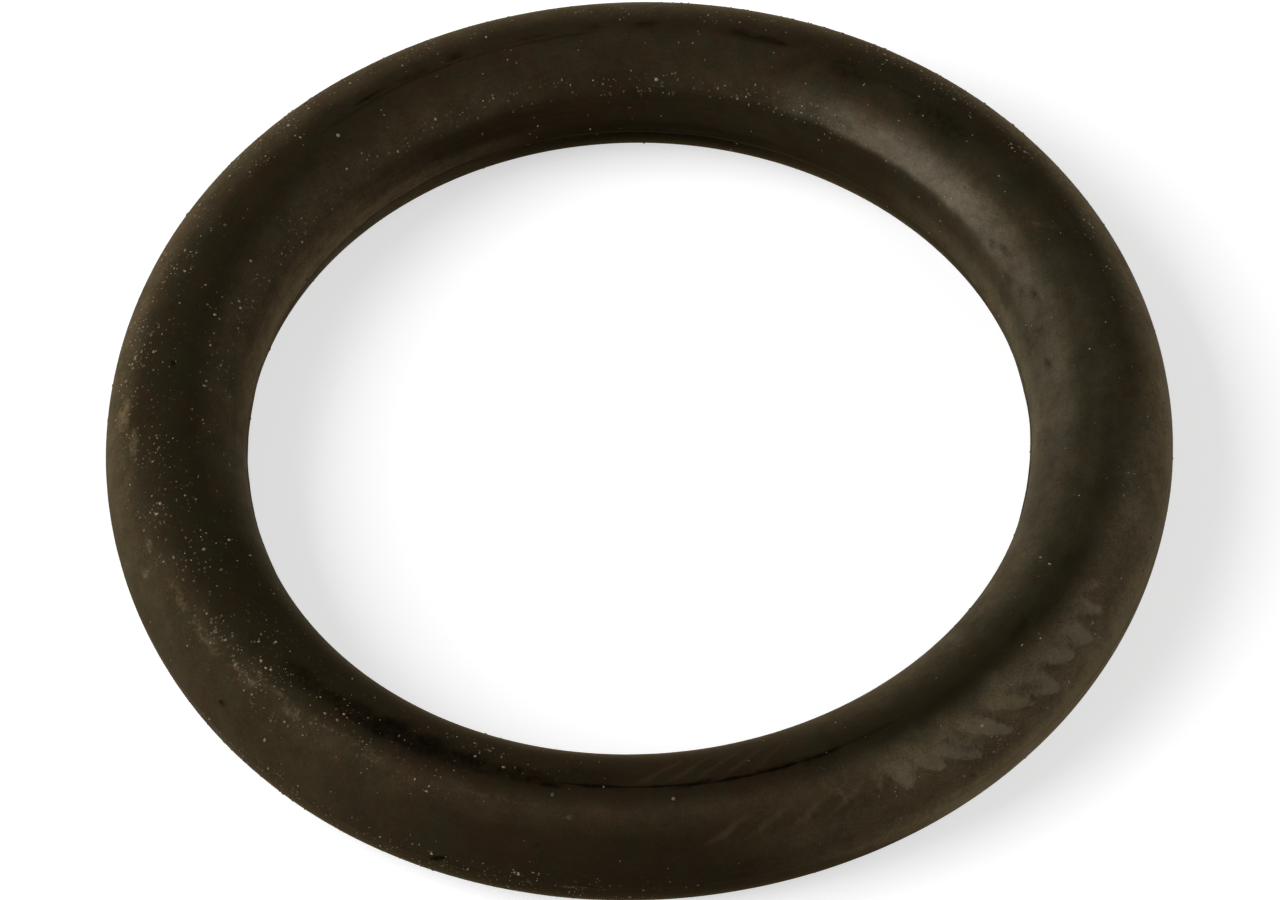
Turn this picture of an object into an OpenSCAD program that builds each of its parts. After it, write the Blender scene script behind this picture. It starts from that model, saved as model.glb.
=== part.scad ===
// Rubber o-ring, lying flat: its axis is Z and its centre is the origin.
// A round section is swept once round the axis. It is moulded in two halves that part
// halfway up, at the narrowest and the widest circle, and a fine flash is left round
// both. Each flash is a drafted ridge with a crest trimmed square to the plane of the ring.

/* [Ring] */
// Inside diameter, measured on the round section beside the flash
inside_diameter = 19.0; // [10:0.5:60]
// Diameter of the round section
section_diameter = 3.5; // [2:0.1:6]

/* [Inner parting line] */
// How far the flash stands in from the inside diameter
inner_flash_height = 0.05; // [0.02:0.01:0.12]
// Width of its trimmed crest, along the axis
inner_flash_crest = 0.1; // [0.04:0.01:0.2]

/* [Outer parting line] */
// How far the flash stands out from the outside diameter
outer_flash_height = 0.04; // [0.02:0.01:0.12]
// Width of its trimmed crest, along the axis
outer_flash_crest = 0.08; // [0.04:0.01:0.2]

/* [Mould] */
// Slope of each flank of the flash, in degrees from the parting plane
flash_draft = 40; // [10:5:60]

/* [Hidden] */
section_radius = section_diameter / 2;
// From the axis of the ring to the middle of its section
mean_radius = inside_diameter / 2 + section_radius;
section_sides = 96;
ring_sides = 240;
rubber_black = [0.17, 0.15, 0.12];

// A ridge on the +X side of a section centred on the origin, rooted inside the section
module flash_outline(height, crest) {
    tip = section_radius + height;
    root = section_radius - height;
    spread = (tip - root) * tan(flash_draft);
    polygon([
        [root, -crest / 2 - spread],
        [tip, -crest / 2],
        [tip, crest / 2],
        [root, crest / 2 + spread]
    ]);
}

// The moulded section, with the axis of the ring off to its left
module section_outline() {
    circle(r = section_radius, $fn = section_sides);
    flash_outline(outer_flash_height, outer_flash_crest);
    rotate(180) flash_outline(inner_flash_height, inner_flash_crest);
}

module o_ring() {
    color(rubber_black)
        rotate_extrude($fn = ring_sides)
            translate([mean_radius, 0])
                section_outline();
}

o_ring();
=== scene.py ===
import bpy
import math
from mathutils import Matrix, Vector


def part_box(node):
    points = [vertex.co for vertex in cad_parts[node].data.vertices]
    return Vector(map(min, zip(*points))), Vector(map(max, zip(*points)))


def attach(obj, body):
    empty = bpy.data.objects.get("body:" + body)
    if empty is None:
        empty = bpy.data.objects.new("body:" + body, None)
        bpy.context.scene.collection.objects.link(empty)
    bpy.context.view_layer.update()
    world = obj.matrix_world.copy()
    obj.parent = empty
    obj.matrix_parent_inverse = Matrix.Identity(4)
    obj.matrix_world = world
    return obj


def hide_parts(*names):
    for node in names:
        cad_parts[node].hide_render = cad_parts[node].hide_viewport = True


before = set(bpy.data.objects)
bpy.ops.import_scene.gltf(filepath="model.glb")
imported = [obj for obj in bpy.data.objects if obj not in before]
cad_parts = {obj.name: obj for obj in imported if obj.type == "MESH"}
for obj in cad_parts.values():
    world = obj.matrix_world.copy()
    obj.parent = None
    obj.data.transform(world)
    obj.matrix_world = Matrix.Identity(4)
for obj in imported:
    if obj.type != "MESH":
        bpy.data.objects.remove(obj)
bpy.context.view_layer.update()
ringLow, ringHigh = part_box("o_ring")
scene = bpy.context.scene
scene.view_settings.view_transform = "Standard"

mm = 0.001
fullTurn = 2 * math.pi
white = (1.0, 1.0, 1.0, 1.0)


# A number in a node tree, so that a rule reads as a formula. It works in shaders and in Geometry Nodes.
class Wire:
    def __init__(self, tree, socket):
        self.tree = tree
        self.socket = socket

    def math(self, operation, *others):
        made = self.tree.nodes.new("ShaderNodeMath")
        made.operation = operation
        for slot, value in zip(made.inputs, (self, *others)):
            feed(self.tree, slot, value)
        return Wire(self.tree, made.outputs[0])

    def __add__(self, other):
        return self.math("ADD", other)

    def __radd__(self, other):
        return self.math("ADD", other)

    def __sub__(self, other):
        return self.math("SUBTRACT", other)

    def __rsub__(self, other):
        return self.math("MULTIPLY", -1.0).math("ADD", other)

    def __mul__(self, other):
        return self.math("MULTIPLY", other)

    def __truediv__(self, other):
        return self.math("DIVIDE", other)

    def atLeast(self, value):
        return self.math("MAXIMUM", value)

    def atMost(self, value):
        return self.math("MINIMUM", value)

    # 0 below low and 1 above high, with a smooth step between
    def step(self, low, high):
        made = self.tree.nodes.new("ShaderNodeMapRange")
        made.interpolation_type = "SMOOTHSTEP"
        for name, value in (("Value", self), ("From Min", low), ("From Max", high)):
            feed(self.tree, made.inputs[name], value)
        return Wire(self.tree, made.outputs["Result"])


# Links a wire or a socket to an input, or writes a plain value there
def feed(tree, slot, value):
    if isinstance(value, Wire):
        tree.links.new(value.socket, slot)
    elif isinstance(value, bpy.types.NodeSocket):
        tree.links.new(value, slot)
    else:
        slot.default_value = value


def node(tree, kind, inputs=None, **settings):
    made = tree.nodes.new(kind)
    for name, value in settings.items():
        setattr(made, name, value)
    for name, value in (inputs or {}).items():
        feed(tree, made.inputs[name], value)
    return made


def vector(tree, x, y, z):
    return node(tree, "ShaderNodeCombineXYZ", {"X": x, "Y": y, "Z": z}).outputs[0]


# Noise from 0 to 1 at a place, size being the width of a blotch in the units of the place.
# Noises with different shifts have nothing in common.
def noise(tree, place, size, detail=2.0, roughness=0.5, shift=0.0):
    apart = (shift, shift * 1.7, shift * 0.6)
    moved = node(tree, "ShaderNodeVectorMath", {0: place, 1: apart}, operation="ADD")
    scale = size.math("POWER", -1.0) if isinstance(size, Wire) else 1.0 / size
    inputs = {"Vector": moved.outputs[0], "Scale": scale, "Detail": detail, "Roughness": roughness}
    return Wire(tree, node(tree, "ShaderNodeTexNoise", inputs).outputs[0])


# The ring. The frame gives what the solid has, and the rest is how its mould wore and how soft it lay.
# A lobe is how many there are round the ring, where one of them points in degrees, and its share.
ring = {
    "innerFlashHeight": 0.05 * mm,
    "innerFlashCrest": 0.1 * mm,
    "outerFlashHeight": 0.04 * mm,
    "outerFlashCrest": 0.08 * mm,
    "flashDraft": 40,            # degrees from the parting plane
    "flashBlend": 0.02 * mm,     # how softly a flash grows out of the round section
    "flashPatch": 1.6 * mm,      # length of its worn patches
    "flashPatchEdge": (0.25, 0.75),
    "flashWear": 0.5,            # share of its height that they take
    "standing": 318,             # where the outer flash is least worn, in degrees round the ring
    "standingReach": (10, 40),   # degrees to each side, from which and to which it wears down
    "standingShare": 0.75,       # what is left of it there
    "wornShare": 0.15,           # and elsewhere
    "around": 660,               # quads round the ring
    "across": 148,               # quads round the section
    "bunching": 0.5,             # how closely the quads crowd at the two parting lines, from 0 to 1
    "outOfRound": 0.031 * mm,    # how far the ring is out of round
    "outOfRoundLobes": ((0, 0, 0.5), (1, 137, 0.4), (3, 353, 1.0), (4, 318, 0.5)),
    "uneven": 0.021 * mm,        # how far its section is thicker or thinner
    "unevenLobes": ((0, 0, -0.4), (1, 8, 0.5), (2, 71, 1.0), (3, 46, 0.5), (4, 319, 0.5)),
    "waviness": 0.006 * mm,      # how far the skin rises and falls
    "wave": 2.2 * mm,            # length of those waves
    "bloomHeight": 0.002 * mm,   # how far the tongues of bloom stand proud
    # the dark marks, painted shade and painted dark reflection among them, are pressed in this far
    "darkMarkDepth": 0.006 * mm,     # how deep the dark nicks go
    "seam": 0.001 * mm,          # points closer than this are one
}
ring["section"] = (ringHigh.z - ringLow.z) / 2
ring["mean"] = ringHigh.x - ring["outerFlashHeight"] - ring["section"]


# Where a point of the skin lies, in degrees: around the ring from its right side, and across the section,
# 0 at the outer parting line, 90 on the crown and 180 at the inner parting line
class Spot:
    def __init__(self, tree, point):
        self.tree = tree
        self.point = point
        part = node(tree, "ShaderNodeSeparateXYZ", {0: point})
        x, y, z = (Wire(tree, part.outputs[name]) for name in "XYZ")
        outward = (x * x + y * y).math("SQRT") - ring["mean"]
        self.around = y.math("ARCTAN2", x).math("DEGREES")
        self.across = z.math("ARCTAN2", outward).math("DEGREES")

    def noise(self, size, detail=2.0, roughness=0.5, shift=0.0):
        return noise(self.tree, self.point, size, detail, roughness, shift)

    # noise drawn out along the ring or across it, leaning by lean degrees around for each degree across
    def streaks(self, size, along=1.0, across=1.0, lean=0.0, detail=2.0, shift=0.0):
        turn = (self.around - self.across * lean).math("RADIANS")
        reach = ring["mean"] / along
        up = self.across * (math.radians(1) * ring["section"] / across)
        drawn = vector(self.tree, turn.math("COSINE") * reach, turn.math("SINE") * reach, up)
        return noise(self.tree, drawn, size, detail, shift=shift)


# Outline of the flash as a distance from the middle of the section, at an angle from the parting plane
def flashOutline(angle, height, crest, section, draftSlope):
    tip = section + height
    crestWall = tip / angle.math("COSINE")
    rise = crest * 0.5 + tip * draftSlope
    flank = rise / (angle.math("SINE") + angle.math("COSINE") * draftSlope)
    return crestWall.atMost(flank)


# What has marked the skin, and the painted sheen, highlight, shade and dark reflection placed like it, in
# degrees around the ring and across the section.
# A band has a middle and half a length around, its two edges across, how soft its ends, lower edge and
# upper edge are, and its amount. An oval has its middle, half its length around and half its width across.
marks = {
    # veils of dry bloom, and painted sheen, highlight and reflection: most of them lighten the grazing
    # edges, the key lamp's highlight and its reflected strip on the far inner slope
    "bloomAndPaintedSheenVeils": [
        {"around": 166, "long": 30, "across": (10, 49), "soft": (20, 16, 14), "amount": 0.41},
        {"around": 214, "long": 26, "across": (-16, 64), "soft": (18, 12, 12), "amount": 0.13},
        {"around": 200, "long": 16, "across": (56, 74), "soft": (14, 10, 8), "amount": 0.06},
        # painted sheen and reflection low on the near right outer side, over dry bloom
        {"around": 348, "long": 30, "across": (-40, 30), "soft": (20, 10, 16), "amount": 0.68},
        {"around": 312, "long": 25, "across": (-12, 34), "soft": (12, 12, 16), "amount": 0.33},
        {"around": 320, "long": 24, "across": (-24, 8), "soft": (14, 10, 10), "amount": 0.76},
        {"around": 328, "long": 26, "across": (34, 66), "soft": (12, 14, 12), "amount": 0.44},
        {"around": 294, "long": 14, "across": (20, 66), "soft": (10, 16, 12), "amount": 0.14},
        {"around": 308, "long": 13, "across": (40, 76), "soft": (8, 12, 10), "amount": 0.14},
        # painted sheen along the right outer edge
        {"around": 22, "long": 30, "across": (0, 50), "soft": (18, 12, 16), "amount": 0.64},
        {"around": 34, "long": 14, "across": (10, 50), "soft": (12, 12, 12), "amount": 0.3},
        {"around": 62, "long": 24, "across": (20, 58), "soft": (18, 12, 12), "amount": 0.14},
        {"around": 358, "long": 30, "across": (40, 110), "soft": (24, 16, 20), "amount": 0.1},
        {"around": 60, "long": 60, "across": (84, 120), "soft": (30, 16, 14), "amount": 0.08},
        # painted sheen along the right inner edge
        {"around": 8, "long": 26, "across": (112, 166), "soft": (20, 14, 14), "amount": 0.2},
        {"around": 4, "long": 18, "across": (158, 184), "soft": (14, 10, 8), "amount": 0.28},
        {"around": 28, "long": 16, "across": (162, 190), "soft": (12, 10, 8), "amount": 0.28},
        # painted sheen along the left inner edge, and painted light on the strip past the inner flash
        {"around": 158, "long": 30, "across": (148, 188), "soft": (18, 16, 6), "amount": 0.62},
        {"around": 140, "long": 30, "across": (168, 188), "soft": (14, 6, 6), "amount": 0.4},
        {"around": 134, "long": 20, "across": (-178, -150), "soft": (12, 4, 8), "amount": 0.36},
        {"around": 204, "long": 20, "across": (138, 178), "soft": (14, 14, 10), "amount": 0.38},
        # painted highlight: the key lamp's highlight and its reflected strip on the far inner slope, warmed
        # by bloom
        {"around": 146, "long": 44, "across": (116, 143), "soft": (18, 16, 7), "amount": 0.27},
        {"around": 45, "long": 15, "across": (117, 142), "soft": (12, 13, 3), "amount": 0.6},
        {"around": 72, "long": 14, "across": (118, 140), "soft": (12, 12, 4), "amount": 0.14},
        {"around": 14, "long": 22, "across": (112, 146), "soft": (12, 10, 8), "amount": 0.16},
        {"around": 110, "long": 45, "across": (32, 70), "soft": (25, 12, 12), "amount": 0.27},
        {"around": 262, "long": 42, "across": (56, 74), "soft": (18, 14, 8), "amount": 0.14},
        {"around": 318, "long": 22, "across": (112, 152), "soft": (14, 18, 10), "amount": 0.4},
        {"around": 344, "long": 22, "across": (146, 170), "soft": (12, 12, 12), "amount": 0.24},
        {"around": 290, "long": 14, "across": (110, 140), "soft": (12, 14, 10), "amount": 0.07},
    ],
    # where the skin is clean and shines
    "shines": [
        {"around": 47, "long": 15, "across": (121, 141), "soft": (12, 11, 3), "amount": 0.6},
        {"around": 14, "long": 40, "across": (114, 148), "soft": (16, 12, 12), "amount": 0.28},
    ],
    # where it faces the bench and is dull
    "dulls": [
        {"around": 262, "long": 34, "across": (-170, 8), "soft": (16, 10, 16), "amount": 1.0},
        {"around": 82, "long": 36, "across": (172, 181), "soft": (20, 6, 1), "amount": 1.0},
        {"around": 82, "long": 40, "across": (-181, -150), "soft": (20, 1, 10), "amount": 1.0},
    ],
    # where dust has gathered, and how thickly
    "drifts": [
        {"around": 118, "long": 60, "across": (127, 145), "soft": (12, 4, 3), "amount": 7.5},
        {"around": 52, "long": 16, "across": (122, 146), "soft": (8, 8, 4), "amount": 4.0},
        {"around": 182, "long": 44, "across": (44, 78), "soft": (12, 10, 8), "amount": 5.8},
        {"around": 148, "long": 34, "across": (26, 60), "soft": (14, 8, 10), "amount": 8.5},
        {"around": 212, "long": 30, "across": (60, 92), "soft": (12, 6, 10), "amount": 6.0},
        {"around": 195, "long": 40, "across": (86, 128), "soft": (12, 8, 8), "amount": 2.6},
        {"around": 250, "long": 10, "across": (98, 124), "soft": (6, 6, 8), "amount": 5.0},
        {"around": 242, "long": 28, "across": (-30, 12), "soft": (8, 10, 8), "amount": 9.0},
        {"around": 335, "long": 28, "across": (10, 54), "soft": (12, 10, 10), "amount": 2.4},
        {"around": 90, "long": 60, "across": (34, 74), "soft": (20, 10, 10), "amount": 4.0},
        {"around": 48, "long": 32, "across": (26, 60), "soft": (12, 10, 8), "amount": 6.5},
    ],
    "strayDust": 0.6,   # how thick it is outside the drifts
    # bloom lifted off in tongues along the near right side: where each one's tip and root lie
    "tongues": [
        {"tip": (292.6, 39), "root": 291.0, "wide": 1.8, "amount": 0.45},
        {"tip": (296.0, 41), "root": 296.5, "wide": 1.3, "amount": 0.6},
        {"tip": (299.4, 32), "root": 299.0, "wide": 2.25, "amount": 0.8},
        {"tip": (303.6, 34), "root": 301.8, "wide": 2.1, "amount": 0.85},
        {"tip": (308.2, 25), "root": 303.6, "wide": 2.25, "amount": 0.95},
        {"tip": (313.0, 25), "root": 308.0, "wide": 1.75, "amount": 1.0},
        {"tip": (316.8, 32), "root": 312.4, "wide": 2.1, "amount": 0.85},
        {"tip": (320.2, 25), "root": 316.8, "wide": 2.25, "amount": 1.0},
        {"tip": (324.2, 35), "root": 320.8, "wide": 2.1, "amount": 0.95},
        {"tip": (327.2, 31), "root": 325.0, "wide": 2.0, "amount": 0.95},
        {"tip": (330.9, 37), "root": 328.8, "wide": 1.75, "amount": 0.7},
        {"tip": (334.0, 43), "root": 332.2, "wide": 1.55, "amount": 0.5},
        {"tip": (337.6, 41), "root": 336.0, "wide": 1.8, "amount": 0.35},
        {"tip": (341.5, 39), "root": 340.0, "wide": 1.8, "amount": 0.25},
    ],
    "tongueRoot": 60.0,   # where all the roots lie, across the section
    "tongueSlope": 0.5,   # how fast a tongue's strength falls at its edge, for each degree
    "tongueEdge": 0.42,   # and its strength there
    # pale ovals of bloom
    "pale": [
        {"around": 177.5, "across": 44, "long": 2.2, "wide": 7.0, "amount": 0.42},
        {"around": 182.0, "across": 55, "long": 2.2, "wide": 4.0, "amount": 0.4},
        {"around": 196.0, "across": 50, "long": 1.3, "wide": 3.5, "amount": 0.25},
        {"around": 204.0, "across": 55, "long": 3.0, "wide": 4.5, "amount": 0.22},
        {"around": 211.0, "across": 56, "long": 3.5, "wide": 5.0, "amount": 0.26},
        {"around": 217.5, "across": 60, "long": 2.5, "wide": 4.0, "amount": 0.26},
        {"around": 225.5, "across": 62, "long": 1.2, "wide": 3.0, "amount": 0.4},
        {"around": 233.0, "across": 70, "long": 9.0, "wide": 2.5, "amount": 0.16},
        {"around": 325.0, "across": 9, "long": 1.5, "wide": 5.0, "amount": 0.2},
        {"around": 26.0, "across": 91, "long": 0.7, "wide": 10.0, "lean": 0.15, "amount": 0.16},
        {"around": 260.8, "across": 61, "long": 0.8, "wide": 1.0, "amount": 0.4},
        {"around": 198.5, "across": 36, "long": 0.9, "wide": 4.0, "amount": 0.35},
        {"around": 236.5, "across": 66, "long": 1.4, "wide": 2.2, "amount": 0.35},
        {"around": 222.0, "across": 67, "long": 4.0, "wide": 2.0, "amount": 0.25},
        {"around": 252.0, "across": 69, "long": 6.0, "wide": 1.4, "amount": 0.15},
        {"around": 261.5, "across": -1, "long": 1.2, "wide": 1.6, "amount": 0.4},
    ],
    # dark smears, nicks and spots, with painted shade under the ring and painted dark reflection along the
    # crown; some of them lean by some degrees around for each degree across
    "dark": [
        # painted dark reflection along the near crown, over the rubber's own black blotches; the ovals from
        # 266 round are dashes of the black line
        {"around": 224.0, "across": 91, "long": 3.5, "wide": 9.0, "amount": 0.5},
        {"around": 228.5, "across": 92, "long": 3.0, "wide": 8.0, "lean": 0.1, "amount": 0.6},
        {"around": 231.5, "across": 94, "long": 3.0, "wide": 11.0, "lean": 0.1, "amount": 0.6},
        {"around": 236.5, "across": 96, "long": 2.8, "wide": 12.0, "lean": 0.1, "amount": 0.7},
        {"around": 241.5, "across": 96, "long": 4.0, "wide": 12.0, "lean": 0.1, "amount": 0.7},
        {"around": 246.5, "across": 94, "long": 3.6, "wide": 10.0, "lean": 0.1, "amount": 0.65},
        {"around": 240.0, "across": 88, "long": 16.0, "wide": 5.0, "amount": 0.6},
        {"around": 254.0, "across": 92, "long": 6.5, "wide": 9.0, "amount": 0.55},
        {"around": 261.0, "across": 96, "long": 6.0, "wide": 12.0, "lean": 0.2, "amount": 0.32},
        {"around": 257.8, "across": 88, "long": 2.6, "wide": 2.6, "amount": 0.8},
        {"around": 266.0, "across": 89, "long": 6.0, "wide": 2.2, "amount": 0.5},
        {"around": 275.0, "across": 89, "long": 5.0, "wide": 2.2, "amount": 0.6},
        {"around": 286.0, "across": 89, "long": 4.5, "wide": 2.4, "amount": 0.55},
        {"around": 296.0, "across": 88, "long": 3.5, "wide": 2.4, "amount": 0.36},
        # painted shade where the ring faces the bench: under the near outer side and under the far inner
        # side
        {"around": 264.0, "across": -24, "long": 34.0, "wide": 17.0, "amount": 0.45},
        {"around": 84.0, "across": -160, "long": 22.0, "wide": 22.0, "amount": 0.8},
        {"around": 84.0, "across": 178, "long": 20.0, "wide": 9.0, "amount": 0.4},
        # painted dark reflection along the near right crown
        {"around": 312.0, "across": 82, "long": 12.0, "wide": 7.0, "amount": 0.3},
        {"around": 328.0, "across": 83, "long": 12.0, "wide": 8.0, "amount": 0.3},
        {"around": 322.0, "across": 84, "long": 3.0, "wide": 6.0, "lean": 0.2, "amount": 0.45},
        {"around": 333.0, "across": 84, "long": 2.4, "wide": 6.0, "lean": 0.2, "amount": 0.4},
        {"around": 346.0, "across": 84, "long": 10.0, "wide": 6.0, "amount": 0.22},
        # painted dark reflection along the far crown, with the rubber's own dark patches in it
        {"around": 46.5, "across": 93, "long": 5.0, "wide": 12.0, "amount": 0.5},
        {"around": 54.0, "across": 88, "long": 4.5, "wide": 3.0, "amount": 0.4},
        {"around": 61.0, "across": 91, "long": 4.0, "wide": 10.0, "amount": 0.48},
        {"around": 66.5, "across": 98, "long": 1.6, "wide": 9.0, "lean": 0.1, "amount": 0.35},
        {"around": 72.5, "across": 86, "long": 3.4, "wide": 4.5, "amount": 0.62},
        {"around": 75.5, "across": 84, "long": 1.4, "wide": 5.0, "amount": 0.5},
        {"around": 87.0, "across": 83, "long": 1.5, "wide": 4.0, "amount": 0.56},
        {"around": 28.0, "across": 84, "long": 16.0, "wide": 9.0, "amount": 0.22},
        {"around": 111.3, "across": 86, "long": 1.4, "wide": 3.6, "amount": 0.62},
        {"around": 117.5, "across": 87, "long": 2.6, "wide": 3.5, "amount": 0.45},
        {"around": 123.6, "across": 87, "long": 2.6, "wide": 3.0, "amount": 0.68},
        {"around": 93.5, "across": 85, "long": 1.4, "wide": 2.2, "amount": 0.5},
        {"around": 101.5, "across": 86, "long": 2.2, "wide": 1.8, "amount": 0.5},
        {"around": 305.7, "across": 52, "long": 0.45, "wide": 7.0, "lean": -0.12, "amount": 0.5},
        {"around": 307.2, "across": 41, "long": 0.5, "wide": 5.0, "lean": -0.12, "amount": 0.5},
        {"around": 312.3, "across": 46, "long": 0.5, "wide": 9.0, "lean": -0.12, "amount": 0.45},
        {"around": 316.9, "across": 46, "long": 0.5, "wide": 10.0, "lean": -0.12, "amount": 0.5},
        {"around": 321.0, "across": 47, "long": 0.5, "wide": 10.0, "lean": -0.12, "amount": 0.45},
        {"around": 325.0, "across": 48, "long": 0.4, "wide": 9.0, "lean": -0.08, "amount": 0.45},
        {"around": 328.6, "across": 49, "long": 0.4, "wide": 9.0, "lean": -0.08, "amount": 0.35},
        {"around": 247.0, "across": 3, "long": 0.45, "wide": 6.0, "lean": 0.18, "amount": 1.0},
        {"around": 250.0, "across": -1, "long": 1.6, "wide": 4.0, "amount": 0.3},
        {"around": 171.5, "across": 86, "long": 0.4, "wide": 2.2, "amount": 0.9},
        {"around": 217.5, "across": 28, "long": 0.35, "wide": 2.0, "amount": 0.7},
        {"around": 257.5, "across": 39, "long": 0.4, "wide": 2.0, "amount": 0.6},
        {"around": 17.0, "across": 127, "long": 1.6, "wide": 3.0, "amount": 0.5},
        {"around": 19.2, "across": 135, "long": 0.8, "wide": 4.0, "lean": -0.1, "amount": 0.45},
        {"around": 6.0, "across": 134, "long": 1.0, "wide": 4.0, "lean": 0.1, "amount": 0.5},
        {"around": 11.5, "across": 133, "long": 0.8, "wide": 3.0, "amount": 0.4},
        {"around": 26.4, "across": 130, "long": 1.8, "wide": 3.0, "lean": 0.2, "amount": 0.5},
        {"around": 28.8, "across": 136, "long": 0.6, "wide": 4.0, "lean": -0.15, "amount": 0.55},
        {"around": 22.5, "across": 141, "long": 1.4, "wide": 2.0, "amount": 0.4},
        {"around": 36.5, "across": 116, "long": 0.8, "wide": 1.6, "amount": 0.3},
    ],
    # how far noise pushes their edges about, in degrees
    "wander": {
        "around": {"size": 1.1 * mm, "detail": 3.0, "shift": 12.0, "reach": 4.0},
        "across": {"size": 0.9 * mm, "detail": 4.0, "shift": 13.0, "reach": 9.0},
        "tongue": {"size": 0.5 * mm, "detail": 2.0, "shift": 14.0, "reach": 6.0},
    },
}


# A node group that turns a place on the skin and a mark's facts into how strongly the mark shows there
def shapeGroup(name, facts, rule):
    tree = bpy.data.node_groups.new(name, "GeometryNodeTree")
    for fact in ("Around", "Across", *facts):
        tree.interface.new_socket(fact, in_out="INPUT", socket_type="NodeSocketFloat")
    tree.interface.new_socket("Strength", in_out="OUTPUT", socket_type="NodeSocketFloat")
    given = tree.nodes.new("NodeGroupInput").outputs
    wires = [Wire(tree, given[fact]) for fact in ("Around", "Across", *facts)]
    feed(tree, tree.nodes.new("NodeGroupOutput").inputs[0], rule(*wires))
    return tree


# degrees from a place round the ring, wrapped so that there is no seam near it
def pastPlace(around, place):
    return (around - place).math("WRAP", 180.0, -180.0)


def awayFrom(around, place):
    return pastPlace(around, place).math("ABSOLUTE")


def bandRule(around, across, place, length, low, high, softEnds, softLow, softHigh, amount):
    ends = 1.0 - awayFrom(around, place).step(length - softEnds, length + softEnds)
    rise = across.step(low - softLow, low + softLow)
    fall = 1.0 - across.step(high - softHigh, high + softHigh)
    return ends * rise * fall * amount


# An oval fades from half its size to half as much again
def ovalRule(around, across, place, height, length, width, lean, amount):
    over = across - height
    along = (pastPlace(around, place) - over * lean) / length
    over = over / width
    reach = (along * along + over * over).math("SQRT")
    return (1.0 - reach.step(0.5, 1.5)) * amount


# A tongue widens from a crisp tip to its root
def tongueRule(around, across, tipAround, tipAcross, lean, width, amount):
    share = (across - tipAcross) / (marks["tongueRoot"] - tipAcross)
    aside = (pastPlace(around, tipAround) - share * lean).math("ABSOLUTE")
    halfWidth = share.atLeast(0.0).math("SQRT") * width
    strength = (halfWidth - aside) * marks["tongueSlope"] + marks["tongueEdge"]
    return strength.atLeast(0.0).atMost(1.0) * amount


# Puts all the marks of one kind on the skin, the strongest on top, or adds them up
def stamp(spot, group, facts, together):
    total = None
    for values in facts:
        shape = node(spot.tree, "GeometryNodeGroup", node_tree=group)
        for slot, value in zip(shape.inputs, (spot.around, spot.across, *values)):
            feed(spot.tree, slot, value)
        strength = Wire(spot.tree, shape.outputs[0])
        total = strength if total is None else total.math(together, strength)
    return total


def skinMarks(tree, point):
    bandNames = ("Place", "Length", "Low", "High", "Soft Ends", "Soft Low", "Soft High", "Amount")
    bandShape = shapeGroup("band", bandNames, bandRule)
    ovalShape = shapeGroup("oval", ("Place", "Height", "Length", "Width", "Lean", "Amount"), ovalRule)
    tongueNames = ("Tip Around", "Tip Across", "Lean", "Width", "Amount")
    tongueShape = shapeGroup("tongue", tongueNames, tongueRule)

    def wander(spot, way):
        facts = dict(marks["wander"][way])
        reach = facts.pop("reach")
        return (spot.noise(**facts) - 0.5) * reach

    def bands(kind, spot):
        facts = [
            (band["around"], band["long"], *band["across"], *band["soft"], band["amount"])
            for band in marks[kind]
        ]
        return stamp(spot, bandShape, facts, "ADD")

    def ovals(kind, spot):
        facts = [
            (
                oval["around"], oval["across"], oval["long"], oval["wide"],
                oval.get("lean", 0.0), oval["amount"],
            )
            for oval in marks[kind]
        ]
        return stamp(spot, ovalShape, facts, "MAXIMUM")

    crisp = Spot(tree, point)
    ragged = Spot(tree, point)
    ragged.around = crisp.around + wander(crisp, "around")
    ragged.across = crisp.across + wander(crisp, "across")
    crisp.across = crisp.across + wander(crisp, "tongue")
    wedges = []
    for tongue in marks["tongues"]:
        tipAround, tipAcross = tongue["tip"]
        wedges.append((tipAround, tipAcross, tongue["root"] - tipAround, tongue["wide"], tongue["amount"]))
    return {
        "veil": bands("bloomAndPaintedSheenVeils", ragged),
        "shine": bands("shines", ragged),
        "dull": bands("dulls", crisp),
        "dust": bands("drifts", ragged) + marks["strayDust"],
        "pale": ovals("pale", crisp),
        "dark": ovals("dark", ragged),
        "tongue": stamp(crisp, tongueShape, wedges, "MAXIMUM"),
    }


def lobes(around, facts):
    total = 0.0
    for count, towards, share in facts:
        total = (around * count - math.radians(count * towards)).math("COSINE") * share + total
    return total


# A new tree for a modifier, with a wire for each named input
def modifierTree(name, inputs):
    tree = bpy.data.node_groups.new(name, "GeometryNodeTree")
    tree.is_modifier = True
    tree.interface.new_socket("Geometry", in_out="INPUT", socket_type="NodeSocketGeometry")
    tree.interface.new_socket("Geometry", in_out="OUTPUT", socket_type="NodeSocketGeometry")
    for label, kind in inputs.items():
        tree.interface.new_socket(label, in_out="INPUT", socket_type="NodeSocket" + kind)
    given = tree.nodes.new("NodeGroupInput").outputs
    return tree, {label: Wire(tree, given[label]) for label in inputs}


# Makes a tree's result real, gives it its material and puts it out
def finishTree(tree, geometry, material):
    real = node(tree, "GeometryNodeRealizeInstances", {"Geometry": geometry.outputs[0]})
    done = node(tree, "GeometryNodeSetMaterial", {"Geometry": real.outputs[0], "Material": material})
    tree.links.new(done.outputs[0], tree.nodes.new("NodeGroupOutput").inputs[0])


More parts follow.
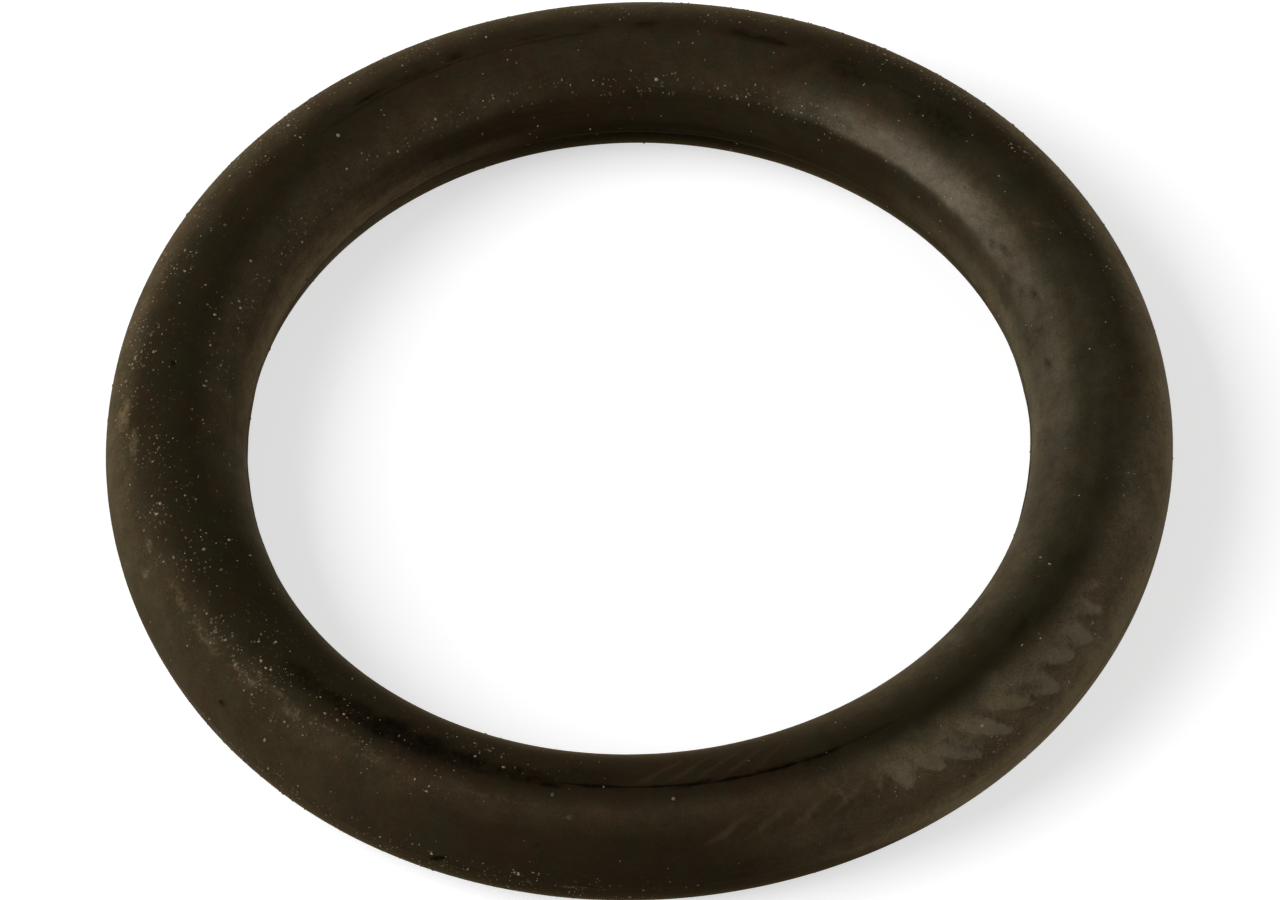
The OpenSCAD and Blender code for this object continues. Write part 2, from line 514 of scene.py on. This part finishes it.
def ringTree():
    tree, size = modifierTree("ringShape", {
        "Mean Radius": "Float", "Section Radius": "Float",
        "Inner Flash Height": "Float", "Inner Flash Crest": "Float",
        "Outer Flash Height": "Float", "Outer Flash Crest": "Float",
        "Flash Draft": "Float", "Flash Blend": "Float",
        "Around": "Int", "Across": "Int", "Bunching": "Float",
        "Out Of Round": "Float", "Uneven": "Float", "Waviness": "Float",
        "Bloom Height": "Float", "Dark Mark Depth": "Float", "Material": "Material",
    })

    # a flat sheet, one unit square, is rolled round the ring
    sheet = node(tree, "GeometryNodeMeshGrid", {
        "Size X": 1.0, "Size Y": 1.0,
        "Vertices X": size["Around"] + 1.0, "Vertices Y": size["Across"] + 1.0,
    })
    corner = tree.nodes.new("GeometryNodeInputPosition").outputs[0]
    place = node(tree, "ShaderNodeSeparateXYZ", {0: corner})
    around = (Wire(tree, place.outputs["X"]) + 0.5) * fullTurn
    even = (Wire(tree, place.outputs["Y"]) + 0.5) * fullTurn
    across = even - (even * 2.0).math("SINE") * size["Bunching"] * 0.5
    outward = across.math("COSINE")
    upward = across.math("SINE")
    eastward = around.math("COSINE")
    northward = around.math("SINE")

    section = size["Section Radius"]
    reach = size["Mean Radius"] + section * outward
    plain = vector(tree, reach * eastward, reach * northward, section * upward)

    # the parting plane cuts the section at two angles, and each has its flash
    angle = upward.math("ABSOLUTE").math("ARCTAN2", outward.math("ABSOLUTE"))
    slope = size["Flash Draft"].math("TANGENT")
    sound = noise(tree, plain, ring["flashPatch"], detail=3.0, shift=3.0).step(*ring["flashPatchEdge"])
    kept = sound * ring["flashWear"] + (1.0 - ring["flashWear"])
    innerHeight = size["Inner Flash Height"] * kept
    inner = flashOutline(angle, innerHeight, size["Inner Flash Crest"], section, slope)
    standing = 1.0 - awayFrom(around.math("DEGREES"), ring["standing"]).step(*ring["standingReach"])
    share = standing * (ring["standingShare"] - ring["wornShare"]) + ring["wornShare"]
    outerHeight = size["Outer Flash Height"] * kept * share
    outer = flashOutline(angle, outerHeight, size["Outer Flash Crest"], section, slope)
    flash = inner + (outer - inner) * outward.math("GREATER_THAN", 0.0)
    radius = section.math("SMOOTH_MAX", flash, size["Flash Blend"])

    # what has marked the skin, and the painted sheen and shade, is kept for its material too
    marked = sheet
    strengths = skinMarks(tree, plain)
    for name, strength in strengths.items():
        marked = node(tree, "GeometryNodeStoreNamedAttribute", {
            "Geometry": marked.outputs[0], "Name": name, "Value": strength,
        }, data_type="FLOAT", domain="POINT")

    # the skin isn't quite even, and the ring isn't quite round
    swell = noise(tree, plain, ring["wave"], shift=11.0) - 0.5
    radius = radius + swell * size["Waviness"] * 2.0
    radius = radius + strengths["tongue"] * size["Bloom Height"] - strengths["dark"] * size["Dark Mark Depth"]
    radius = radius + lobes(around, ring["unevenLobes"]) * size["Uneven"]
    middle = size["Mean Radius"] + lobes(around, ring["outOfRoundLobes"]) * size["Out Of Round"]
    distance = middle + radius * outward
    shaped = node(tree, "GeometryNodeSetPosition", {
        "Geometry": marked.outputs[0],
        "Position": vector(tree, distance * eastward, distance * northward, radius * upward),
    })
    closed = node(tree, "GeometryNodeMergeByDistance", {
        "Geometry": shaped.outputs[0], "Distance": ring["seam"],
    })
    smooth = node(tree, "GeometryNodeSetShadeSmooth", {"Geometry": closed.outputs[0]})
    finishTree(tree, smooth, size["Material"])
    return tree


# Runs a Geometry Nodes tree with named inputs and returns its result as a plain mesh object
def grow(name, tree, values):
    carrier = bpy.data.objects.new(name + "Carrier", bpy.data.meshes.new(name + "Carrier"))
    scene.collection.objects.link(carrier)
    modifier = carrier.modifiers.new("shape", "NODES")
    modifier.node_group = tree
    sockets = {item.name: item.identifier for item in tree.interface.items_tree if item.in_out == "INPUT"}
    for label, value in values.items():
        modifier[sockets[label]] = value
    bpy.context.view_layer.update()
    evaluated = carrier.evaluated_get(bpy.context.evaluated_depsgraph_get())
    mesh = bpy.data.meshes.new_from_object(evaluated)
    mesh.name = name
    carrier.modifiers.remove(modifier)
    bpy.data.objects.remove(carrier)
    made = bpy.data.objects.new(name, mesh)
    scene.collection.objects.link(made)
    print(name, "has", len(mesh.vertices), "points and", len(mesh.polygons), "faces")
    return made


# The finish of the rubber. Places are in degrees, as for the marks. A pair of numbers is where a smooth
# step starts and where it ends.
rubberLook = {
    "olive": (0.0134, 0.0116, 0.0055, 1.0),
    "brown": (0.0172, 0.01, 0.0051, 1.0),
    # the colour of dry bloom, which also paints sheen, highlight and reflection in the veils
    "bloomAndPaintedSheen": (0.098, 0.071, 0.037, 1.0),     # dry bloom on the skin
    "ash": (0.092, 0.0755, 0.047, 1.0),     # and where it is greyer
    "polished": 0.36,                       # roughness where the skin is clean
    "rubbed": 0.98,                         # and where it faces the bench
    "specular": 0.006,
    "specularTint": (1.0, 0.7, 0.3, 1.0),
    "coat": 0.24,                           # of clear gloss where it shines most
    "coatRoughness": 0.36,
    "filmMatt": 0.5,                        # share of that gloss which bloom takes
    "sheen": 0.09,                          # fine dust, seen edge on
    "sheenRoughness": 0.34,
    "sheenTint": (1.0, 0.7, 0.31, 1.0),
    "grain": 0.0016 * mm,                   # height of the fine grain
    # noises that break it up, by the width of their blotches, and noises drawn out into streaks
    "noises": {
        "fray": {"size": 0.2 * mm, "detail": 5.0, "roughness": 0.65},
        "cloud": {"size": 0.8 * mm, "detail": 5.0, "roughness": 0.6, "shift": 2.0},
        "speckle": {"size": 0.045 * mm, "detail": 1.0, "shift": 4.0},
        "patchy": {"size": 0.32 * mm, "detail": 3.0, "shift": 8.0},
        "patch": {"size": 1.5 * mm, "detail": 1.0, "shift": 10.0},
        "waver": {"size": 2.5 * mm, "detail": 2.0, "shift": 5.0},
        "dash": {"size": 0.8 * mm, "detail": 3.0, "shift": 7.0},
    },
    "streaks": {
        "stroke": {"size": 0.09 * mm, "across": 5.0, "lean": -0.16, "detail": 3.0, "shift": 1.0},
        "streak": {"size": 0.08 * mm, "along": 14.0, "detail": 2.0, "shift": 6.0},
    },
    # what each part of the finish is made of: a start value, and a share of each mask
    "recipes": {
        "tongue": (1.0, {"cloud": 1.0, "fray": 1.0, "speckle": 1.0}),
        "pale": (1.0, {"speckle": 3.0}),
        "veil": (1.0, {"fray": 0.7, "cloud": 0.9, "speckle": 0.8}),
        "shine": (1.0, {"fray": 1.4, "cloud": 1.0}),
        "softDark": (0.8, {"fray": 1.6}),
        "paintedCrownLine": (0.8, {"fray": 1.5}),
        "brown": (0.13, {
            "farSide": 0.46, "nearSide": 0.54, "leftSide": 0.16, "patch": 1.2, "patchy": 2.2, "brushed": 0.1,
        }),
        "warm": (0.0, {
            "browned": 1.0, "leftSide": 0.32, "outerSide": 0.4, "brushed": 0.6, "tongueFilm": -1.0,
        }),
        "shade": (1.0, {
            "streak": 0.2, "brushedStreak": 0.4, "cloud": 0.5, "fray": 0.3, "stroke": 0.15, "speckle": 0.35,
        }),
        "roughness": (0.62, {"darkness": 0.3, "streak": 0.2, "cloud": -0.3}),
        "relief": (0.0, {"speckle": 1.0, "streak": 0.7}),
    },
    # the sides of the ring that are browner or warmer
    "farCurve": 2.0,                        # the higher, the nearer the brown keeps to the far side
    "nearCurve": 4.0,                       # and to the near one
    "outerEdge": (40.0, 90.0),              # across, where the outer side ends
    "brushedAcross": (140.0, 155.0),        # the far inner side has been brushed along the ring
    "brushedAround": (30.0, 60.0),
    # bloom in tongues, which frays at its edge and thins out across
    "tongueFilm": 0.7,
    "tongueFray": 0.6,
    "tongueEdge": (0.3, 0.48),              # in strengths of the mark, as the next ones are
    "tongueTip": (0.0, 0.9),
    "tongueFade": (34.0, 72.0),             # across
    "paleFilm": 0.8,
    "paleFray": 1.6,
    "paleTip": (0.0, 0.25),
    # dark marks
    "blotFray": 0.9,
    "blotEdge": (0.1, 0.92),
    "black": 0.88,                          # share of the colour that the darkest mark takes
    "leastShade": 0.1,                      # share of it that is always left
    # the finest dust, as dots
    "dotGap": 0.13 * mm,
    "dotSizes": (0.02, 0.32),               # of the smallest and the largest, in gaps
    "dotEdge": (0.4, 1.3),
    "dotFilm": 0.06,                        # bloom on a dot where the thickness of the dust is 1
    # fans of fine strokes wiped through the bloom, each with where it starts and ends across
    "fans": [
        {"around": 277.5, "across": 106.0, "long": 8.5, "start": (89, 99), "end": (110, 122),
         "gap": 3.6, "shift": 0.6, "amount": 0.09},
        {"around": 285.0, "across": 48.5, "long": 9.0, "start": (35, 45), "end": (49, 61),
         "gap": 4.6, "shift": 2.4, "amount": 0.16},
    ],
    "fanLean": 0.24,                        # degrees around for each degree across
    "fanWaver": 2.2,                        # degrees by which a cloud pushes a stroke aside
    "fanEnds": 2.0,                         # degrees to each side of a fan's end in which it fades
    "fanEdge": (0.0, 1.2),
    # painted dark reflection: the fine black line along the crown, where the dark gap between the lamps is
    # mirrored
    "paintedCrownLine": {
        "across": 89.3,
        "stretches": [
            {"around": 276, "long": (11.2, 32), "amount": 1.0},
            {"around": 112, "long": (14.4, 24), "amount": 0.45},
        ],
        "wobble": 5.0,                      # degrees by which it wavers
        "thin": 0.5,                        # its half width at its thinnest
        "thicker": 1.8,                     # and how much is added where it is thick
        "dashEdge": (0.4, 0.7),
        "core": (0.2, 1.7),                 # where its black core ends, in half widths
        "coreAmount": 0.8,
        "halo": (0.0, 6.0),                 # and where the dusk round it ends
        "haloAmount": 0.35,
    },
}


def mixColour(tree, factor, first, second):
    mix = node(tree, "ShaderNodeMix", data_type="RGBA", clamp_factor=True)
    feed(tree, mix.inputs["Factor"], factor)
    colours = [slot for slot in mix.inputs if slot.type == "RGBA"]
    feed(tree, colours[0], first)
    feed(tree, colours[1], second)
    return [slot for slot in mix.outputs if slot.type == "RGBA"][0]


def attribute(tree, name):
    return Wire(tree, node(tree, "ShaderNodeAttribute", attribute_name=name).outputs["Fac"])


# The start value of a recipe and its share of each mask, added up
def follow(recipe, masks):
    amount, shares = rubberLook["recipes"][recipe]
    for name, share in shares.items():
        amount = masks[name] * share + amount
    return amount


def rubberMasks(spot):
    masks = {name: spot.noise(**facts) - 0.5 for name, facts in rubberLook["noises"].items()}
    masks.update({name: spot.streaks(**facts) - 0.5 for name, facts in rubberLook["streaks"].items()})
    sway = spot.around.math("RADIANS").math("SINE")
    masks["farSide"] = sway.atLeast(0.0).math("POWER", rubberLook["farCurve"])
    masks["nearSide"] = sway.atMost(0.0).math("POWER", rubberLook["nearCurve"])
    masks["leftSide"] = spot.around.math("RADIANS").math("COSINE").atMost(0.0) * -1.0
    masks["outerSide"] = 1.0 - spot.across.step(*rubberLook["outerEdge"])
    brushed = spot.across.step(*rubberLook["brushedAcross"]) * spot.around.step(*rubberLook["brushedAround"])
    masks["brushed"] = brushed
    masks["brushedStreak"] = brushed * masks["streak"]
    return masks


# Fine strokes, which waver and fade at both ends
def fanFilm(spot, fan, masks):
    ends = rubberLook["fanEnds"]
    lean = rubberLook["fanLean"]
    upright = spot.around - spot.across * lean
    turn = (upright - masks["cloud"] * rubberLook["fanWaver"] - fan["shift"]) * (fullTurn / fan["gap"])
    reach = awayFrom(upright + fan["across"] * lean, fan["around"])
    inside = 1.0 - reach.step(fan["long"] - ends, fan["long"] + ends)
    inside = inside * spot.across.step(*fan["start"]) * (1.0 - spot.across.step(*fan["end"]))
    return (turn.math("SINE") + masks["fray"]).step(*rubberLook["fanEdge"]) * inside * fan["amount"]


# The finest dust, as dots that are too small to be grains
def dotFilm(tree, spot):
    dots = node(tree, "ShaderNodeTexVoronoi", {"Vector": spot.point, "Scale": 1.0 / rubberLook["dotGap"]})
    luck = Wire(tree, node(tree, "ShaderNodeSeparateColor", {0: dots.outputs["Color"]}).outputs["Red"])
    smallest, largest = rubberLook["dotSizes"]
    size = luck * luck * (largest - smallest) + smallest
    reach = Wire(tree, dots.outputs["Distance"]) / size
    return (1.0 - reach.step(*rubberLook["dotEdge"])) * attribute(tree, "dust") * rubberLook["dotFilm"]


# painted dark reflection of the gap between the lamps, as a black line along the crown
def paintedCrownLineDarkness(spot, masks):
    paintedCrownLine = rubberLook["paintedCrownLine"]
    thick = (masks["dash"] + 0.5).step(*paintedCrownLine["dashEdge"]) * paintedCrownLine["thicker"] + paintedCrownLine["thin"]
    offLine = (spot.across - paintedCrownLine["across"] + masks["waver"] * paintedCrownLine["wobble"]).math("ABSOLUTE") / thick
    core = (1.0 - offLine.step(*paintedCrownLine["core"])) * paintedCrownLine["coreAmount"]
    halo = (1.0 - offLine.step(*paintedCrownLine["halo"])) * paintedCrownLine["haloAmount"]
    ends = 0.0
    for stretch in paintedCrownLine["stretches"]:
        away = awayFrom(spot.around, stretch["around"])
        ends = (1.0 - away.step(*stretch["long"])) * stretch["amount"] + ends
    return (core + halo) * ends * follow("paintedCrownLine", masks)


def rubberMaterial():
    material = bpy.data.materials.new("rubber")
    material.use_nodes = True
    tree = material.node_tree
    shader = tree.nodes["Principled BSDF"]
    for name, key in (
        ("Specular IOR Level", "specular"), ("Specular Tint", "specularTint"),
        ("Coat Roughness", "coatRoughness"), ("Sheen Weight", "sheen"),
        ("Sheen Roughness", "sheenRoughness"), ("Sheen Tint", "sheenTint"),
    ):
        shader.inputs[name].default_value = rubberLook[key]
    spot = Spot(tree, tree.nodes.new("ShaderNodeTexCoord").outputs["Object"])
    masks = rubberMasks(spot)
    fray = masks["fray"]

    # bloom, with crisp and frayed edges where it has come off, and the painted sheen, highlight and
    # reflection of the veils
    tongue = attribute(tree, "tongue")
    edge = (tongue + fray * rubberLook["tongueFray"]).step(*rubberLook["tongueEdge"])
    fade = 1.0 - spot.across.step(*rubberLook["tongueFade"])
    tongueFilm = edge * tongue.step(*rubberLook["tongueTip"]) * fade * follow("tongue", masks)
    masks["tongueFilm"] = tongueFilm
    pale = attribute(tree, "pale")
    paleFilm = (pale + fray * rubberLook["paleFray"]).atLeast(0.0) * pale.step(*rubberLook["paleTip"])
    paleFilm = paleFilm * follow("pale", masks)
    veil = (attribute(tree, "veil") * follow("veil", masks)).atLeast(0.0)
    bloomAndPaintedSheen = tongueFilm * rubberLook["tongueFilm"] + paleFilm * rubberLook["paleFilm"] + veil
    for fan in rubberLook["fans"]:
        bloomAndPaintedSheen = bloomAndPaintedSheen + fanFilm(spot, fan, masks)
    bloomAndPaintedSheen = (bloomAndPaintedSheen + dotFilm(tree, spot)).atMost(1.0)

    # smears and nicks, painted shade under the ring, and painted dark reflection along the crown with its
    # fine black line
    darkMarkStrength = attribute(tree, "dark")
    blot = (darkMarkStrength + fray * rubberLook["blotFray"]).step(*rubberLook["blotEdge"])
    dark = (darkMarkStrength * follow("softDark", masks)).atLeast(blot).atLeast(paintedCrownLineDarkness(spot, masks)).atMost(1.0)
    masks["darkness"] = dark

    # browner at the near and far sides, greener at the left and right
    masks["browned"] = follow("brown", masks).atLeast(0.0).atMost(1.0)
    skin = mixColour(tree, masks["browned"], rubberLook["olive"], rubberLook["brown"])
    bloomAndPaintedSheenColour = mixColour(tree, follow("warm", masks), rubberLook["ash"], rubberLook["bloomAndPaintedSheen"])
    coloured = mixColour(tree, bloomAndPaintedSheen, skin, bloomAndPaintedSheenColour)
    shade = follow("shade", masks) * (1.0 - dark * rubberLook["black"])
    final = node(tree, "ShaderNodeVectorMath", {0: coloured}, operation="SCALE")
    feed(tree, final.inputs["Scale"], shade.atLeast(rubberLook["leastShade"]))
    tree.links.new(final.outputs[0], shader.inputs["Base Color"])

    # gloss
    plainRoughness = rubberLook["recipes"]["roughness"][0]
    shine = (attribute(tree, "shine") * follow("shine", masks)).atLeast(0.0)
    clean = (1.0 - dark) * (1.0 - bloomAndPaintedSheen * rubberLook["filmMatt"])
    feed(tree, shader.inputs["Coat Weight"], shine * rubberLook["coat"] * clean)
    polish = shine * (rubberLook["polished"] - plainRoughness)
    rubbed = attribute(tree, "dull") * (rubberLook["rubbed"] - plainRoughness)
    feed(tree, shader.inputs["Roughness"], (follow("roughness", masks) + polish + rubbed).atMost(1.0))

    # relief too fine for the mesh
    bump = node(tree, "ShaderNodeBump", {"Strength": 1.0, "Distance": 1.0})
    feed(tree, bump.inputs["Height"], follow("relief", masks) * rubberLook["grain"])
    tree.links.new(bump.outputs[0], shader.inputs["Normal"])
    print("rubber finish has", len(tree.nodes), "nodes")
    return material


ringPiece = grow("ring", ringTree(), {
    "Mean Radius": ring["mean"], "Section Radius": ring["section"],
    "Inner Flash Height": ring["innerFlashHeight"], "Inner Flash Crest": ring["innerFlashCrest"],
    "Outer Flash Height": ring["outerFlashHeight"], "Outer Flash Crest": ring["outerFlashCrest"],
    "Flash Draft": math.radians(ring["flashDraft"]), "Flash Blend": ring["flashBlend"],
    "Around": ring["around"], "Across": ring["across"], "Bunching": ring["bunching"],
    "Out Of Round": ring["outOfRound"], "Uneven": ring["uneven"], "Waviness": ring["waviness"],
    "Bloom Height": ring["bloomHeight"], "Dark Mark Depth": ring["darkMarkDepth"], "Material": rubberMaterial(),
})
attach(ringPiece, "root")
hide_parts("o_ring")


# Grains of dust: small lumps, mostly fine, each with its own tone
dust = {
    "density": 2.15 / (mm * mm),      # grains on a square metre where the thickness of the dust is 1
    "small": 0.03 * mm,               # across a fine grain
    "large": 0.09 * mm,               # across a coarse one
    "fineness": 3.0,                  # the higher, the fewer are coarse
    "flatness": 0.5,                  # height of a grain beside its width
    "stretch": (0.6, 1.5),            # how much it may be longer or wider
    "clump": 0.7 * mm,                # size of the clumps
    "clumpEdge": (0.42, 0.62),        # noise at which a clump starts and is whole
    "clumped": 2.0,                   # density in a clump
    "scattered": 0.15,                # and between them
    "seed": 7,
    "dim": (0.06, 0.047, 0.03, 1.0),
    "bright": (0.23, 0.19, 0.133, 1.0),
    "mottle": 0.03 * mm,              # size of the mottling on a grain
    "roughness": 0.9,
    "specular": 0.0,
}


# The first socket that holds a number, of any name or of the given one
def numberSocket(sockets, name=None):
    return [each for each in sockets if each.type == "VALUE" and name in (None, each.name)][0]


# A random number from low to high for each point
def chance(tree, low, high, seed):
    made = node(tree, "FunctionNodeRandomValue", data_type="FLOAT")
    feed(tree, numberSocket(made.inputs, "Min"), low)
    feed(tree, numberSocket(made.inputs, "Max"), high)
    feed(tree, made.inputs["Seed"], seed)
    return Wire(tree, numberSocket(made.outputs))


def dustTree():
    tree, given = modifierTree("dustScatter", {
        "Skin": "Object", "Density": "Float", "Clump": "Float", "Small": "Float", "Large": "Float",
        "Seed": "Int", "Material": "Material",
    })
    skin = node(tree, "GeometryNodeObjectInfo", {"Object": given["Skin"]}, transform_space="ORIGINAL")
    place = tree.nodes.new("GeometryNodeInputPosition").outputs[0]
    gathered = node(tree, "GeometryNodeInputNamedAttribute", {"Name": "dust"}, data_type="FLOAT")
    amount = Wire(tree, numberSocket(gathered.outputs))
    clumps = noise(tree, place, given["Clump"], detail=5.0, shift=9.0).step(*dust["clumpEdge"])
    clumps = clumps * dust["clumped"] + dust["scattered"]
    spread = node(tree, "GeometryNodeDistributePointsOnFaces", {
        "Mesh": skin.outputs["Geometry"], "Density": amount * clumps * given["Density"],
        "Seed": given["Seed"],
    })

    seed = given["Seed"]
    toned = node(tree, "GeometryNodeStoreNamedAttribute", {
        "Geometry": spread.outputs["Points"], "Name": "tone", "Value": chance(tree, 0.0, 1.0, seed + 1.0),
    }, data_type="FLOAT", domain="POINT")
    across = chance(tree, 0.0, 1.0, seed + 2.0).math("POWER", dust["fineness"])
    across = across * (given["Large"] - given["Small"]) + given["Small"]
    longer = chance(tree, *dust["stretch"], seed + 3.0)
    wider = chance(tree, *dust["stretch"], seed + 4.0)
    lump = vector(tree, across * longer, across * wider, across * dust["flatness"])
    ball = node(tree, "GeometryNodeMeshIcoSphere", {"Radius": 0.5, "Subdivisions": 1})
    smooth = node(tree, "GeometryNodeSetShadeSmooth", {"Geometry": ball.outputs["Mesh"]})
    placed = node(tree, "GeometryNodeInstanceOnPoints", {
        "Points": toned.outputs[0], "Instance": smooth.outputs[0], "Scale": lump,
        "Rotation": spread.outputs["Rotation"],
    })
    finishTree(tree, placed, given["Material"])
    return tree


def dustMaterial():
    material = bpy.data.materials.new("dust")
    material.use_nodes = True
    tree = material.node_tree
    shader = tree.nodes["Principled BSDF"]
    shader.inputs["Roughness"].default_value = dust["roughness"]
    shader.inputs["Specular IOR Level"].default_value = dust["specular"]
    place = tree.nodes.new("ShaderNodeTexCoord").outputs["Object"]
    mottle = noise(tree, place, dust["mottle"]) + 0.5
    tone = attribute(tree, "tone")
    colour = mixColour(tree, tone * tone * mottle, dust["dim"], dust["bright"])
    tree.links.new(colour, shader.inputs["Base Color"])
    return material


grainPiece = grow("dustGrains", dustTree(), {
    "Skin": ringPiece, "Density": dust["density"], "Clump": dust["clump"],
    "Small": dust["small"], "Large": dust["large"], "Seed": dust["seed"],
    "Material": dustMaterial(),
})
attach(grainPiece, "root")


# A pale floor under the ring. Where the camera or a gloss sees it, it is brighter by lift, so that it
# goes white away from the shadow.
floorLook = {
    "size": 3.0,
    "colour": (0.65, 0.65, 0.65, 1.0),
    "roughness": 0.9,
    "specular": 0.0,
    "lift": 0.55,
}


# 1 where the camera, a gloss or something clear sees a surface, and 0 where it only lights the ring
def seenDirectly(tree):
    path = tree.nodes.new("ShaderNodeLightPath").outputs
    seen = Wire(tree, path["Is Camera Ray"])
    for ray in ("Is Glossy Ray", "Is Transmission Ray"):
        seen = seen.atLeast(path[ray])
    return seen


def addFloor():
    mesh = bpy.data.meshes.new("floor")
    half = floorLook["size"] / 2
    corners = [(x * half, y * half, ringLow.z) for x, y in ((-1, -1), (1, -1), (1, 1), (-1, 1))]
    mesh.from_pydata(corners, [], [(0, 1, 2, 3)])
    floor = bpy.data.objects.new("floor", mesh)
    scene.collection.objects.link(floor)
    material = bpy.data.materials.new("floor")
    material.use_nodes = True
    tree = material.node_tree
    shader = tree.nodes["Principled BSDF"]
    shader.inputs["Base Color"].default_value = floorLook["colour"]
    shader.inputs["Roughness"].default_value = floorLook["roughness"]
    shader.inputs["Specular IOR Level"].default_value = floorLook["specular"]
    shader.inputs["Emission Color"].default_value = white
    feed(tree, shader.inputs["Emission Strength"], seenDirectly(tree) * floorLook["lift"])
    mesh.materials.append(material)
    print("floor laid under the ring")


addFloor()


# The camera's place, read from the photo: the ring's middle and scale are in the photo's pixels
view = {
    "elevation": 54.58,
    "roll": 2.04,
    "distance": 0.4037,
    "photo": (1280, 900),
    "middle": (638.2, 444.4),
    "pixelsPerMetre": 41139,
    "sensor": 36.0,
    "clip": (0.01, 10.0),
}


def addCamera():
    tilt = math.radians(view["elevation"])
    roll = math.radians(view["roll"])
    back = Vector((0, -math.cos(tilt), math.sin(tilt)))
    level = Vector((1, 0, 0))
    rise = Vector((0, math.sin(tilt), math.cos(tilt)))
    right = level * math.cos(roll) - rise * math.sin(roll)
    up = level * math.sin(roll) + rise * math.cos(roll)
    offRight = view["middle"][0] - view["photo"][0] / 2
    offUp = view["photo"][1] / 2 - view["middle"][1]
    aim = (ringLow + ringHigh) / 2 - (right * offRight + up * offUp) / view["pixelsPerMetre"]
    data = bpy.data.cameras.new("camera")
    data.sensor_width = view["sensor"]
    data.lens = view["pixelsPerMetre"] * view["distance"] * view["sensor"] / view["photo"][0]
    data.clip_start, data.clip_end = view["clip"]
    camera = bpy.data.objects.new("camera", data)
    turn = Matrix((right, up, back)).transposed()
    camera.matrix_world = Matrix.Translation(aim + back * view["distance"]) @ turn.to_4x4()
    scene.collection.objects.link(camera)
    scene.camera = camera
    print("camera set", round(data.lens), "mm lens")


addCamera()

# Soft boxes. Azimuth 0 is the camera's side, and it grows towards the camera's right.
lampDistance = 0.5
lamps = {
    "key": {"azimuth": -78, "elevation": 34, "wide": 0.42, "high": 0.48, "power": 3.65},
    "backLeft": {"azimuth": -125, "elevation": 14, "wide": 0.35, "high": 0.22, "power": 0.5},
    "fill": {"azimuth": 65, "elevation": 38, "wide": 0.4, "high": 0.4, "power": 0.97},
    "sideRight": {"azimuth": 100, "elevation": 8, "wide": 0.3, "high": 0.16, "power": 0.35},
}


def addLamp(name, azimuth, elevation, wide, high, power):
    turn = math.radians(azimuth)
    lift = math.radians(elevation)
    way = Vector((math.sin(turn) * math.cos(lift), -math.cos(turn) * math.cos(lift), math.sin(lift)))
    data = bpy.data.lights.new(name, "AREA")
    data.shape = "RECTANGLE"
    data.size = wide
    data.size_y = high
    data.energy = power
    lamp = bpy.data.objects.new(name, data)
    lamp.location = way * lampDistance
    lamp.rotation_mode = "QUATERNION"
    lamp.rotation_quaternion = way.to_track_quat("Z", "Y")
    scene.collection.objects.link(lamp)


for lampName, lampFacts in lamps.items():
    addLamp(lampName, **lampFacts)
print("lamps lit:", *lamps)

# A dim grey sky lights the ring, and what sees it directly sees white
sky = {"colour": (0.08, 0.08, 0.08, 1.0)}


def addWorld():
    world = bpy.data.worlds.new("studio")
    world.use_nodes = True
    tree = world.node_tree
    dim = tree.nodes["Background"]
    dim.inputs["Color"].default_value = sky["colour"]
    bright = node(tree, "ShaderNodeBackground", {"Color": white})
    mix = node(tree, "ShaderNodeMixShader", {0: seenDirectly(tree), 1: dim.outputs[0], 2: bright.outputs[0]})
    tree.links.new(mix.outputs[0], tree.nodes["World Output"].inputs["Surface"])
    scene.world = world
    print("world set")


addWorld()
